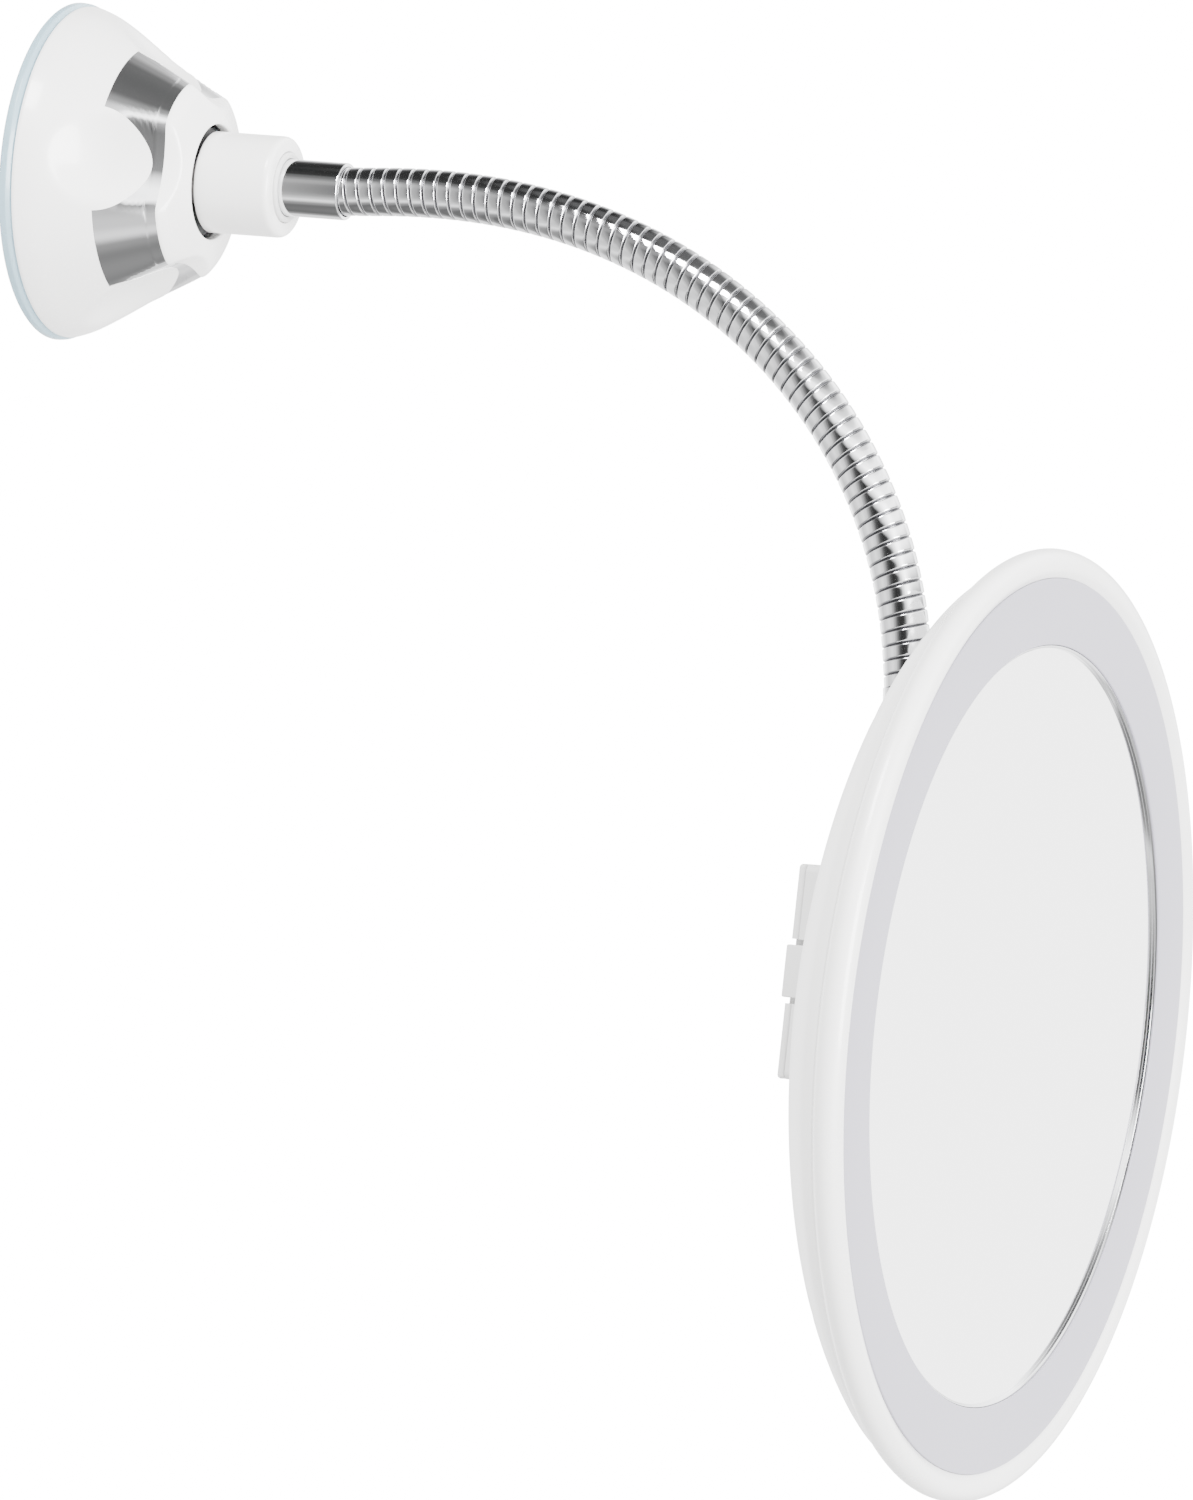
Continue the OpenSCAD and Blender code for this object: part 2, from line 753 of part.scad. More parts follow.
suction_pad();
pad_centre();
pull_stud();
lift_peg();
pressure_plate();
seat_cup();
seat_ring();
twist_shell();
plated_collar();
nose_cap();
cam_ring();
ball_bush();
hub_ball();
hub_sleeve();
bush_ring();
base_ferrule();
neck_link_01();
neck_link_02();
neck_link_03();
neck_link_04();
neck_link_05();
neck_link_06();
neck_link_07();
neck_link_08();
neck_link_09();
neck_link_10();
neck_link_11();
neck_link_12();
neck_link_13();
head_ferrule();
head_ball();
head_bush();
socket_cap();
socket_screws();
rear_shell();
front_bezel();
diffuser_ring();
mirror_glass();
glass_pad();
chassis_plate();
led_board();
led_chips();
lead_wires();
shell_screws();
battery_case();
battery_cells();
contact_plates();
contact_springs();
battery_door();
door_latch();
power_button();
switch_block();
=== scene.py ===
# %% [markdown]
# # A lighted wall mirror on a flexible neck
# The mirror hangs from a suction base by a ribbed metal neck. Its moving parts come from a packed
# CAD model, which stays as it is. This lesson builds the visible skins and finishes around it, one
# piece at a time. Lengths are in metres here; profiles are typed in millimetres and scaled by MM.

# %% Load the frame
import json
import bpy
import bmesh
from math import sin, cos, tan, pi, radians, sqrt, atan2
from mathutils import Matrix, Vector

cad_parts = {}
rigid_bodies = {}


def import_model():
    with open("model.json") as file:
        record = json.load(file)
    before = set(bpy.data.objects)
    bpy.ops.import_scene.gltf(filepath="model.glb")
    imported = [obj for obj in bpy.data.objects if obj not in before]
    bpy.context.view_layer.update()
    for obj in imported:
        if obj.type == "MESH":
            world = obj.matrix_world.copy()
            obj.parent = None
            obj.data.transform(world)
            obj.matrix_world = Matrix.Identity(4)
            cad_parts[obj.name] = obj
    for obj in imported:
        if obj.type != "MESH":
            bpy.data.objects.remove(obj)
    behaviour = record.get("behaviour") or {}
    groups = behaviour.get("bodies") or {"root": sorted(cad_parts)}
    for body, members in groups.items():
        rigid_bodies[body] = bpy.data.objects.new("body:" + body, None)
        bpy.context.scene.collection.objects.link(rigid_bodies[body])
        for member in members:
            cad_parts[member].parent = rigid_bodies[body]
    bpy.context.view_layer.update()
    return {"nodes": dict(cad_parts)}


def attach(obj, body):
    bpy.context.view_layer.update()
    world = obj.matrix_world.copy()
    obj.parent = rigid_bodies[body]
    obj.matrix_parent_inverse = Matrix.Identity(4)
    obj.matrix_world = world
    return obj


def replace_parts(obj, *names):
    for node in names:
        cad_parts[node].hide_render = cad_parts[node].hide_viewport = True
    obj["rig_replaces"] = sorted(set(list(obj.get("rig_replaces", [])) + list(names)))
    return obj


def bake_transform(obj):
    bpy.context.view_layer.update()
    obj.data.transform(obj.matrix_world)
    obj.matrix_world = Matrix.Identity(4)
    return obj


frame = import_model()
nodes = frame["nodes"]
MM = 0.001

# %% [markdown]
# The parts sit in three places. The base stands straight out of the wall, so its own height axis
# is the world's -Y. The neck leaves it and bends down along a row of short segments. The head
# hangs from a ball at the neck's end. Each place gets a matrix, so that a piece can be drawn
# upright about its own axis and then put where it belongs.

# %% Where the base, neck and head are
LINKS = 13
LINK_PITCH = 12.75
NECK_START = 58.0
START_DEG = -5.5
BEND_DEG = 91.2
BEND_EASE = 1.25
BALL_REACH = 13.2
SOCKET_UP = 47.0
SOCKET_BACK = 27.3
HEAD_PITCH = 1.4


def link_angle(i):
    return radians(START_DEG + BEND_DEG * ((i + 0.5) / LINKS) ** BEND_EASE)


joints = [(NECK_START, 0.0)]
for i in range(LINKS):
    out, up = joints[-1]
    a = link_angle(i)
    joints.append((out + LINK_PITCH * cos(a), up - LINK_PITCH * sin(a)))
end_angle = radians(START_DEG + BEND_DEG)
ball = Vector((0, -(joints[-1][0] + BALL_REACH * cos(end_angle)),
               joints[-1][1] - BALL_REACH * sin(end_angle))) * MM

BASE = Matrix.Rotation(pi / 2, 4, "X")
HEAD = (Matrix.Translation(ball) @ Matrix.Rotation(pi / 2 + radians(HEAD_PITCH), 4, "X")
        @ Matrix.Translation(Vector((0, -SOCKET_UP, SOCKET_BACK)) * MM))
STEM = Matrix.Translation(ball) @ Matrix.Rotation(end_angle - pi / 2, 4, "X")
print("head ball at", [round(v, 4) for v in ball])

# %% [markdown]
# The camera stands far away with a long lens, a little turned about its own axis. The light is a
# plain white studio: a bright surround and two soft panels. Polished metal shows only what stands
# round it, so the surround that it mirrors has darker and lighter bands.

# %% Camera
CAM_AZ, CAM_ROLL, LENS = radians(-67.608), radians(4.846), 507.36
cam_data = bpy.data.cameras.new("camera")
cam_data.lens = LENS
cam_data.sensor_width = 36
cam_data.clip_end = 60
camera = bpy.data.objects.new("camera", cam_data)
bpy.context.scene.collection.objects.link(camera)
back = Vector((sin(CAM_AZ), -cos(CAM_AZ), 0))
level = Vector((cos(CAM_AZ), sin(CAM_AZ), 0))
right = level * cos(CAM_ROLL) + Vector((0, 0, 1)) * sin(CAM_ROLL)
turn = Matrix((right, back.cross(right), back)).transposed().to_4x4()
camera.matrix_world = Matrix.Translation((-3.65689, -1.62452, -0.10069)) @ turn
bpy.context.scene.camera = camera
print("lens", round(LENS), "mm, camera at", [round(v, 2) for v in camera.matrix_world.translation])

# %% [markdown]
# Helpers come next. Most pieces are turned shapes: a profile is drawn by extruding one vertex from
# point to point, its corners are rounded, and it is spun about its axis. A rounded profile gives
# real edge highlights, and costs less than a bevel made afterwards.

# %% Modelling helpers


def deselect():
    if bpy.context.object and bpy.context.object.mode != "OBJECT":
        bpy.ops.object.mode_set(mode="OBJECT")
    bpy.ops.object.select_all(action="DESELECT")


def pick(obj):
    deselect()
    obj.select_set(True)
    bpy.context.view_layer.objects.active = obj


def soften(points, steps=5):
    """Points (r, h) or (r, h, radius): each corner with a radius becomes a short arc."""
    result = []
    n = len(points)
    for i, p in enumerate(points):
        here = Vector(p[:2])
        rad = p[2] if len(p) > 2 else 0
        if not rad:
            result.append(here)
            continue
        a = (Vector(points[i - 1][:2]) - here)
        b = (Vector(points[(i + 1) % n][:2]) - here)
        half = a.angle(b) / 2
        reach = min(rad / tan(half), a.length * 0.49, b.length * 0.49)
        p0, p1 = here + a.normalized() * reach, here + b.normalized() * reach
        for k in range(steps + 1):
            t = k / steps
            result.append(p0 * (1 - t) ** 2 + here * 2 * t * (1 - t) + p1 * t * t)
    return result


def drawn(name, points):
    """A chain of edges through points (r, h), extruded from one vertex, left in edit mode."""
    deselect()
    bpy.ops.mesh.primitive_plane_add(size=0.001, location=(0, 0, 0))
    obj = bpy.context.object
    obj.name = name
    bpy.ops.object.mode_set(mode="EDIT")
    bpy.ops.mesh.select_all(action="SELECT")
    bpy.ops.mesh.merge(type="CENTER")
    at = Vector((points[0][0], 0, points[0][1])) * MM
    bpy.ops.transform.translate(value=at)
    for r, h in points[1:]:
        goal = Vector((r, 0, h)) * MM
        bpy.ops.mesh.extrude_region_move(TRANSFORM_OT_translate={"value": goal - at})
        at = goal
    return obj


def spun(name, points, turns=96, where=BASE, closed=True, smooth=35):
    """A turned piece: its profile is drawn, then spun round the upright axis."""
    profile = soften(points)
    obj = drawn(name, profile + ([profile[0]] if closed else []))
    bpy.ops.mesh.select_all(action="SELECT")
    bpy.ops.mesh.spin(steps=turns, angle=2 * pi, center=(0, 0, 0), axis=(0, 0, 1))
    bpy.ops.mesh.select_all(action="SELECT")
    bpy.ops.mesh.remove_doubles(threshold=2e-6)
    bpy.ops.mesh.dissolve_degenerate(threshold=1e-6)
    bpy.ops.mesh.select_all(action="SELECT")
    bpy.ops.mesh.normals_make_consistent(inside=False)
    bpy.ops.object.mode_set(mode="OBJECT")
    obj.data.transform(where)
    bpy.ops.object.shade_smooth_by_angle(angle=radians(smooth))
    print(name, len(obj.data.polygons), "faces")
    return obj


def from_grid(name, rows, where=BASE, wrap=False):
    """A quad sheet from rows of points, in millimetres."""
    mesh = bpy.data.meshes.new(name)
    obj = bpy.data.objects.new(name, mesh)
    bpy.context.scene.collection.objects.link(obj)
    bm = bmesh.new()
    verts = [[bm.verts.new(Vector(p) * MM) for p in row] for row in rows]
    for a, b in zip(verts, verts[1:]):
        n = len(a)
        for i in range(n if wrap else n - 1):
            j = (i + 1) % n
            bm.faces.new((a[i], a[j], b[j], b[i]))
    bm.to_mesh(mesh)
    bm.free()
    mesh.transform(where)
    return obj


def add_modifier(obj, kind, **settings):
    pick(obj)
    mod = obj.modifiers.new(kind.lower(), kind)
    for key, value in settings.items():
        setattr(mod, key, value)
    bpy.ops.object.modifier_apply(modifier=mod.name)
    return obj


def carve(obj, cutter):
    """Cuts the cutter's shape out of the piece and deletes the cutter."""
    add_modifier(obj, "BOOLEAN", operation="DIFFERENCE", object=cutter, solver="EXACT")
    bpy.data.objects.remove(cutter)


def join(pieces):
    """Joins the pieces into the first of them."""
    deselect()
    for piece in pieces:
        piece.select_set(True)
    bpy.context.view_layer.objects.active = pieces[0]
    bpy.ops.object.join()
    return pieces[0]


def tidy(obj, angle=35, merge=2e-6):
    """Merges doubles, points the faces outwards and smooths the shading."""
    pick(obj)
    bpy.ops.object.mode_set(mode="EDIT")
    bpy.ops.mesh.select_all(action="SELECT")
    bpy.ops.mesh.remove_doubles(threshold=merge)
    bpy.ops.mesh.normals_make_consistent(inside=False)
    bpy.ops.object.mode_set(mode="OBJECT")
    bpy.ops.object.shade_smooth_by_angle(angle=radians(angle))
    print(obj.name, len(obj.data.polygons), "faces")
    return obj


def rounded_block(name, low, high, bevel, where=HEAD, segments=3):
    """A block from corner to corner, in millimetres, with its edges bevelled in edit mode."""
    deselect()
    low, high = Vector(low) * MM, Vector(high) * MM
    bpy.ops.mesh.primitive_cube_add(size=1, location=(low + high) / 2)
    obj = bpy.context.object
    obj.name = name
    obj.scale = high - low
    bpy.ops.object.transform_apply(location=True, rotation=False, scale=True)
    bpy.ops.object.mode_set(mode="EDIT")
    bpy.ops.mesh.select_all(action="SELECT")
    bpy.ops.mesh.bevel(offset=bevel * MM, segments=segments, affect="EDGES")
    bpy.ops.object.mode_set(mode="OBJECT")
    obj.data.transform(where)
    bpy.ops.object.shade_smooth_by_angle(angle=radians(35))
    print(name, len(obj.data.polygons), "faces")
    return obj


def use(obj, body, slot, material, *replaced):
    """Sets the finish, the body that the piece rides on and the CAD nodes that it stands for."""
    obj.data.materials.clear()
    obj.data.materials.append(material)
    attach(obj, body)
    if replaced:
        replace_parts(obj, *replaced)
    return obj


# %% [markdown]
# Finishes are node trees. One small class wraps a socket, so that shader maths reads like ordinary
# sums. Each plastic gets a faint colour drift and a fine moulded grain, each metal gets faint
# smudges in its gloss, and nothing is one flat colour.

# %% Material helpers


class Sock:
    """A node socket that can be added, multiplied and so on."""

    def __init__(self, tree, socket):
        self.tree, self.socket = tree, socket

    def node(self, kind, settings=None, inputs=None, out=0):
        n = self.tree.nodes.new(kind)
        for key, value in (settings or {}).items():
            if key == "stops":
                ramp = n.color_ramp
                while len(ramp.elements) > 1:
                    ramp.elements.remove(ramp.elements[-1])
                for i, (pos, col) in enumerate(value):
                    e = ramp.elements[0] if i == 0 else ramp.elements.new(pos)
                    e.position, e.color = pos, col
            else:
                setattr(n, key, value)
        for key, value in (inputs or {}).items():
            if isinstance(value, Sock):
                self.tree.links.new(value.socket, n.inputs[key])
            else:
                n.inputs[key].default_value = value
        return Sock(self.tree, n.outputs[out])

    def maths(self, operation, a, b):
        return self.node("ShaderNodeMath", {"operation": operation}, {0: a, 1: b})

    def __add__(self, other):
        return self.maths("ADD", self, other)

    def __radd__(self, other):
        return self.maths("ADD", other, self)

    def __sub__(self, other):
        return self.maths("SUBTRACT", self, other)

    def __rsub__(self, other):
        return self.maths("SUBTRACT", other, self)

    def __mul__(self, other):
        return self.maths("MULTIPLY", self, other)

    def __rmul__(self, other):
        return self.maths("MULTIPLY", other, self)

    def clamp(self, low=0.0, high=1.0):
        return self.node("ShaderNodeClamp", None, {0: self, 1: low, 2: high})

    def mix(self, a, b):
        """Colour a where this value is 0, colour b where it is 1."""
        return self.node("ShaderNodeMix", {"data_type": "RGBA"}, {0: self, 6: a, 7: b}, 2)


def finish(name, **constants):
    """A new material; returns it, its shader node and a socket of object coordinates."""
    mat = bpy.data.materials.new(name)
    mat.use_nodes = True
    tree = mat.node_tree
    shader = tree.nodes["Principled BSDF"]
    for key, value in constants.items():
        shader.inputs[key.replace("_", " ")].default_value = value
    coords = tree.nodes.new("ShaderNodeTexCoord")
    return mat, shader, Sock(tree, coords.outputs["Object"])


def feed(shader, **links):
    for key, sock in links.items():
        sock.tree.links.new(sock.socket, shader.inputs[key.replace("_", " ")])


def noise(coords, scale, detail=3.0, rough=0.5):
    return coords.node("ShaderNodeTexNoise", None,
                       {"Vector": coords, "Scale": scale, "Detail": detail, "Roughness": rough})


def bump(height, strength, depth):
    return height.node("ShaderNodeBump", None,
                       {"Height": height, "Strength": strength, "Distance": depth})


def plastic(name, colour, drift, rough, grain=0.06, coat=0.0, **more):
    """Moulded plastic: a slow colour drift, a slightly uneven gloss and a fine grain."""
    mat, shader, xyz = finish(name, Coat_Weight=coat, Coat_Roughness=0.08, **more)
    slow, fine = noise(xyz, 22.0, 2.0), noise(xyz, 900.0, 2.0)
    other = tuple(max(0.0, c - drift) for c in colour[:3]) + (1.0,)
    feed(shader, Base_Color=slow.mix((*colour[:3], 1.0), other),
         Roughness=(rough + slow * 0.06 + fine * 0.03),
         Normal=bump(fine, grain, 0.00006))
    return mat


def metal(name, colour, rough, smudge=0.05, grain=0.02):
    """Plated or bare metal: a mirror gloss with faint smudges and a very fine texture."""
    mat, shader, xyz = finish(name, Metallic=1.0)
    cloud, fine = noise(xyz, 60.0, 4.0, 0.6), noise(xyz, 1400.0, 2.0)
    dull = tuple(c * 0.93 for c in colour[:3]) + (1.0,)
    feed(shader, Base_Color=cloud.mix((*colour[:3], 1.0), dull),
         Roughness=(rough + cloud * smudge),
         Normal=bump(fine, grain, 0.00003))
    return mat


# %% Finishes
white_gloss = plastic("white_gloss", (0.90, 0.895, 0.885), 0.012, 0.22, 0.04, 0.35)
white_shell = plastic("white_shell", (0.86, 0.855, 0.845), 0.012, 0.28, 0.05, 0.2)
inner_white = plastic("inner_white", (0.80, 0.80, 0.79), 0.02, 0.42, 0.12)
door_grey = plastic("door_grey", (0.66, 0.66, 0.655), 0.015, 0.38, 0.12)
dark_nylon = plastic("dark_nylon", (0.05, 0.05, 0.052), 0.01, 0.45, 0.12)
foam = plastic("foam", (0.03, 0.03, 0.03), 0.01, 0.8, 0.3)
board = plastic("board", (0.80, 0.82, 0.78), 0.03, 0.4, 0.1)
wire = plastic("wire", (0.55, 0.06, 0.05), 0.03, 0.4, 0.1)
cell_wrap = plastic("cell_wrap", (0.05, 0.11, 0.24), 0.02, 0.25, 0.05)
chip = plastic("chip", (0.92, 0.80, 0.42), 0.05, 0.45, 0.1)
chrome = metal("chrome", (0.86, 0.865, 0.875), 0.035, 0.03)
ring_chrome = metal("ring_chrome", (0.80, 0.805, 0.82), 0.07, 0.05)
plain_steel = metal("plain_steel", (0.55, 0.55, 0.56), 0.28, 0.08, 0.08)
print("finishes", len(bpy.data.materials))

# %% [markdown]
# ## Suction base
# The pad is soft clear plastic with a blue-green tint. It is turned, with a thin flared lip. Its
# colour is deepest at the rim, where one looks through the most material.

# %% Suction pad


def pad_finish():
    mat, shader, xyz = finish("clear_pad", IOR=1.45, Transmission_Weight=0.55, Coat_Weight=0.3)
    cloud, fine = noise(xyz, 30.0, 2.0), noise(xyz, 500.0, 2.0)
    feed(shader, Base_Color=cloud.mix((0.50, 0.74, 0.86, 1), (0.60, 0.80, 0.90, 1)),
         Roughness=(0.22 + cloud * 0.1), Normal=bump(fine, 0.05, 0.00005))
    return mat


clear_pad = pad_finish()
pad = spun("pad_skin", [(12.3, 1.3), (21, 1.3), (24.2, 0), (31.6, 0, 0.3), (32, 0.4, 0.3),
                        (31.9, 1.5, 0.4), (31.2, 2.2, 0.3), (12.3, 2.2)], 128)
use(pad, "base", "pad", clear_pad, "suction_pad")

# %% [markdown]
# The base shell is a white skirt whose four petals reach up into a plated collar, with a white
# nose on top. Four finger scoops run through all three. Spinning alone can't make the scoops, so
# each skin is a grid of points on one shared surface: a turned profile, pushed in wherever it
# enters one of four big round cutters. The grid's columns follow the petals' outline, so that the
# line between white and chrome is crisp.

# %% The shared surface of the base shell
BAND_Z, BAND_R, SHELL_NOSE_Z, SHELL_NOSE_R = 16.0, 24.7, 26.6, 19.4
SCOOP_DEPTH, SCOOP_R, SCOOP_Z, SCOOP_TURN = 3.1, 24.0, 19.5, radians(-5.6)
PETAL_R, PETAL_Z = 10.0, 15.8
SLOPE = atan2(BAND_R - SHELL_NOSE_R, SHELL_NOSE_Z - BAND_Z)
OUTWARD = Vector((cos(SLOPE), 0, sin(SLOPE)))
ALONG = Vector((-sin(SLOPE), 0, cos(SLOPE)))


def cone_r(h):
    return BAND_R - (h - BAND_Z) * tan(SLOPE)


SCOOP_CENTRE = Vector((cone_r(SCOOP_Z), 0, SCOOP_Z)) + OUTWARD * (SCOOP_R - SCOOP_DEPTH)
PETAL_CENTRE = Vector((cone_r(PETAL_Z), 0, PETAL_Z))


def catmull(points, per=8):
    """A smooth line through the points."""
    pts = [Vector(p) for p in points]
    pts = [pts[0] * 2 - pts[1]] + pts + [pts[-1] * 2 - pts[-2]]
    line = []
    for a, b, c, d in zip(pts, pts[1:], pts[2:], pts[3:]):
        for k in range(per):
            t = k / per
            line.append(0.5 * ((2 * b) + (c - a) * t + (2 * a - 5 * b + 4 * c - d) * t * t
                               + (3 * b - a - 3 * c + d) * t ** 3))
    return line + [pts[-2]]


def scooped(theta, r, h, sink=0.0, softness=0.3):
    """The point at this angle and height, pushed in where a finger scoop passes."""
    local = (theta - SCOOP_TURN + pi / 4) % (pi / 2) - pi / 4
    for _ in range(3):
        p = Vector((r * cos(local), r * sin(local), h))
        v = p - SCOOP_CENTRE
        t = v.dot(ALONG)
        dist = v.length if t < 0 else (v - ALONG * t).length
        inside = SCOOP_R - dist
        r -= 0.5 * (inside + sqrt(inside * inside + softness * softness)) * 0.75
    r -= sink
    return (r * cos(theta), r * sin(theta), h)


def petal_edge(h):
    """Half the angle that a petal covers at this height."""
    low, high = 0.0, pi / 4

    def off(a):
        v = Vector((cone_r(h) * cos(a), cone_r(h) * sin(a), h)) - PETAL_CENTRE
        return (v - OUTWARD * v.dot(OUTWARD)).length - PETAL_R
    if off(0.0) > 0:
        return 0.0
    for _ in range(30):
        mid = (low + high) / 2
        low, high = (mid, high) if off(mid) < 0 else (low, mid)
    return low


def columns(h, petals, windows, n_petal=20, n_window=18):
    """Angles of one row: those on the petals, those on the windows, or both."""
    e = petal_edge(h)
    angles = []
    for k in range(4):
        mid = SCOOP_TURN + k * pi / 2
        if petals:
            angles.append([mid - e + 2 * e * i / n_petal for i in range(n_petal + 1)])
        if windows:
            wide = pi / 2 - 2 * e
            angles.append([mid + e + wide * i / n_window for i in range(n_window + 1)])
    return angles


petal_tip = PETAL_Z + PETAL_R * cos(SLOPE)
petal_rows = [BAND_Z + (petal_tip - BAND_Z) * sin(pi / 2 * i / 18) for i in range(19)]
print("petal tip at", round(petal_tip, 2), "mm")

# %% White skirt with its petals
skirt_line = catmull([(31.35, 2.55), (31.25, 3.4), (30.1, 6.4), (27.5, 11.2), (BAND_R, BAND_Z)], 7)
skirt_rows = []
for r, h in [(p.x, p.y) for p in skirt_line]:
    skirt_rows.append([scooped(a, r, h) for part in columns(BAND_Z, True, True) for a in part])
shell_parts = [from_grid("twist_skin", skirt_rows, wrap=True)]
for k in range(4):
    rows = [[scooped(a, cone_r(h), h) for a in columns(h, True, False)[k]] for h in petal_rows]
    shell_parts.append(from_grid("petal", rows))
skirt = tidy(join(shell_parts))
add_modifier(skirt, "SOLIDIFY", thickness=1.7 * MM, offset=-1, use_even_offset=True)
tidy(skirt, 38)
use(skirt, "lock_shell", "white", white_gloss, "twist_shell")

# %% Plated collar
collar_parts = []
for k in range(4):
    rows = [[scooped(a, cone_r(h), h, 0.1) for a in columns(h, False, True)[k]]
            for h in petal_rows]
    for i in range(1, 5):
        h = petal_tip + (SHELL_NOSE_Z - petal_tip) * i / 4
        rows.append([scooped(a, cone_r(h), h, 0.1) for a in columns(h, False, True)[k]])
    collar_parts.append(from_grid("collar_skin", rows))
collar = tidy(join(collar_parts))
add_modifier(collar, "SOLIDIFY", thickness=1.5 * MM, offset=-1, use_even_offset=True)
tidy(collar, 38)
use(collar, "lock_shell", "chrome", chrome, "plated_collar")

# %% Nose
nose_line = catmull([(19.35, 26.62), (19.0, 27.2), (17.6, 28.3), (15.2, 29.35), (12.9, 30.2),
                     (11.7, 30.55), (11.1, 30.5), (10.9, 30.1), (10.9, 28.8)], 5)
nose_rows = [[scooped(2 * pi * i / 144, p.x, p.y) for i in range(144)] for p in nose_line]
nose = from_grid("nose_skin", nose_rows, wrap=True)
tidy(nose)
add_modifier(nose, "SOLIDIFY", thickness=1.2 * MM, offset=-1)
tidy(nose, 38)
use(nose, "lock_shell", "white", white_gloss, "nose_cap")

# %% [markdown]
# The hub is a plain white sleeve with a well-rounded front edge. A light ring closes its bore
# round the chrome ferrule. All three are turned.

# %% Hub, ring and ferrule
hub = spun("hub_skin", [(4.1, 30.2), (9.6, 30.2, 0.4), (9.6, 45.4, 2.0), (6.75, 45.4, 0.25),
                        (6.75, 44.3), (4.1, 44.3)])
use(hub, "hub", "white", white_gloss, "hub_sleeve")
ring = spun("bush_skin", [(5.5, 44.4), (6.65, 44.4), (6.65, 45.9, 0.5), (5.5, 45.9, 0.3)], 72)
use(ring, "hub", "grey", door_grey, "bush_ring")
ferrule = spun("base_ferrule_skin", [(0, 38.2), (5.4, 38.2), (5.42, 57.7, 0.35), (4.75, 57.7, 0.1),
                                     (4.7, 54), (0, 54)], 96, closed=False)
use(ferrule, "hub", "chrome", chrome, "base_ferrule")

# %% [markdown]
# ## The flexible neck
# The real neck is a strip wound into a tube, so its ribs are one long shallow screw thread. One
# rib's outline goes through a Screw modifier to make a straight threaded tube. It is cut where
# each hidden segment has its middle, and each length is then bent along the neck's line. A length
# crosses one joint. An attribute, high in the grooves, paints shade between the ribs: the finish
# darkens the base colour there as painted shade, and makes the gloss rougher.

# %% The neck's line
RIB_R, RIB_PITCH, TUBE_START, BLEND_REACH = 4.6, 2.65, 55.0, 5.0
corners = [Vector((TUBE_START - 4, 0)), Vector((NECK_START, 0))]
corners += [Vector(j) for j in joints[1:]]
tip = corners[-1] + Vector((cos(end_angle), -sin(end_angle))) * (BALL_REACH - 9.6)
corners.append(tip)
line = [Vector((TUBE_START, 0))]
for a, b, c in zip(corners, corners[1:], corners[2:]):
    start, stop = (a + b) / 2, (b + c) / 2
    for k in range(1, 25):
        t = k / 24
        p = start * (1 - t) ** 2 + b * 2 * t * (1 - t) + stop * t * t
        if p.x > line[-1].x + 1e-6 or p.y < line[-1].y - 1e-6:
            line.append(p)
line.append(tip)
lengths = [0.0]
for a, b in zip(line, line[1:]):
    lengths.append(lengths[-1] + (b - a).length)
total = lengths[-1]
rib_count = round(total / RIB_PITCH)
pitch = total / rib_count
print("neck length", round(total, 1), "mm,", rib_count, "ribs")


def along(s):
    """Place and direction at a distance along the neck's line, as (out, up) pairs."""
    s = min(max(s, 0.0), total)
    i = next((k for k in range(1, len(lengths)) if lengths[k] >= s), len(lengths) - 1)
    a, b = line[i - 1], line[i]
    t = (s - lengths[i - 1]) / max(lengths[i] - lengths[i - 1], 1e-9)
    here = a.lerp(b, t)
    before = line[max(i - 4, 0)]
    after = line[min(i + 3, len(line) - 1)]
    return here, (after - before).normalized()


# %% One straight threaded tube
RIB = [(0.0, -0.42), (0.05, -0.34), (0.09, -0.13), (0.115, -0.05), (0.14, -0.02), (0.19, -0.01),
       (0.5, 0.0), (0.81, -0.01), (0.86, -0.02), (0.885, -0.05), (0.91, -0.13), (0.95, -0.34),
       (1.0, -0.42)]
thread = drawn("thread", [(RIB_R + depth, (share - 1) * pitch) for share, depth in RIB])
bpy.ops.object.mode_set(mode="OBJECT")
add_modifier(thread, "SCREW", angle=2 * pi, steps=40, render_steps=40, axis="Z",
             screw_offset=pitch * MM, iterations=rib_count + 2, use_merge_vertices=True,
             merge_threshold=1e-6)
tidy(thread, 60)
print("tube height", round(thread.dimensions.z / MM, 1), "mm")

# %% Cut and bend each length


def cut(obj, height, keep_above):
    pick(obj)
    bpy.ops.object.mode_set(mode="EDIT")
    bpy.ops.mesh.select_all(action="SELECT")
    bpy.ops.mesh.bisect(plane_co=(0, 0, height * MM), plane_no=(0, 0, 1), use_fill=True,
                        clear_inner=keep_above, clear_outer=not keep_above)
    bpy.ops.object.mode_set(mode="OBJECT")


def nearest(point):
    return min(range(len(line)), key=lambda k: (line[k] - point).length)


def neck_finish():
    mat, shader, xyz = finish("neck_chrome", Metallic=1.0)
    groove = xyz.node("ShaderNodeAttribute", {"attribute_name": "groove"}, None, 2)
    cloud, fine = noise(xyz, 80.0, 3.0), noise(xyz, 1500.0, 2.0)
    # painted shade: the attribute darkens the base colour towards dark grey in the grooves between the
    # ribs, where real shade falls; the gloss is also made rougher there
    shade = (groove * 1.3).clamp()
    feed(shader, Base_Color=shade.mix((0.84, 0.845, 0.86, 1), (0.16, 0.16, 0.17, 1)),
         Roughness=(0.05 + cloud * 0.04 + shade * 0.25), Normal=bump(fine, 0.03, 0.00003))
    return mat


